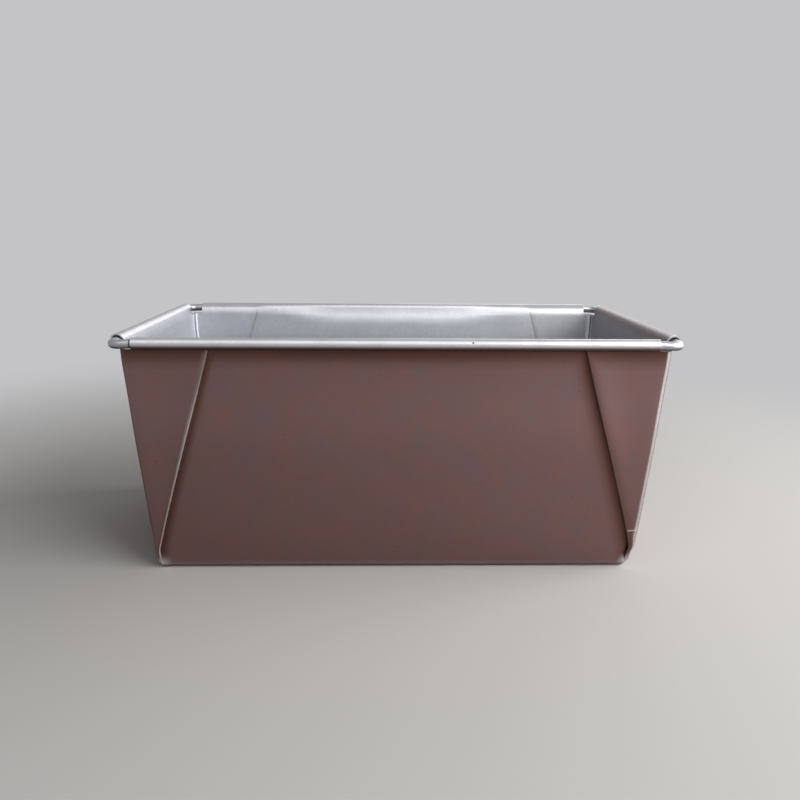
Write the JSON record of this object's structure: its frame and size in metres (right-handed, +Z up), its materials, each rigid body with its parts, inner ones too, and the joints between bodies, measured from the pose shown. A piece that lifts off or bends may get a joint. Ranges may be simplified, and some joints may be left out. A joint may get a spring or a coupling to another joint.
{
  "type": "loaf pan",
  "caption": "Deep open loaf pan folded from one steel sheet, with leaning walls, corners folded flat outside, and rims curled over a wire that shows bare at the corners",
  "frame": {"origin": "the middle of the face that the pan stands on", "axes": "X along the pan, Y across it, Z up out of the mouth"},
  "size_m": [0.2398, 0.1378, 0.1066],
  "materials": {
    "aluminised_sheet": "satin",
    "steel_wire": "satin"
  },
  "bodies": {
    "root": {"pan_body": "aluminised_sheet", "rim_wire": "steel_wire"}
  },
  "joints": []
}
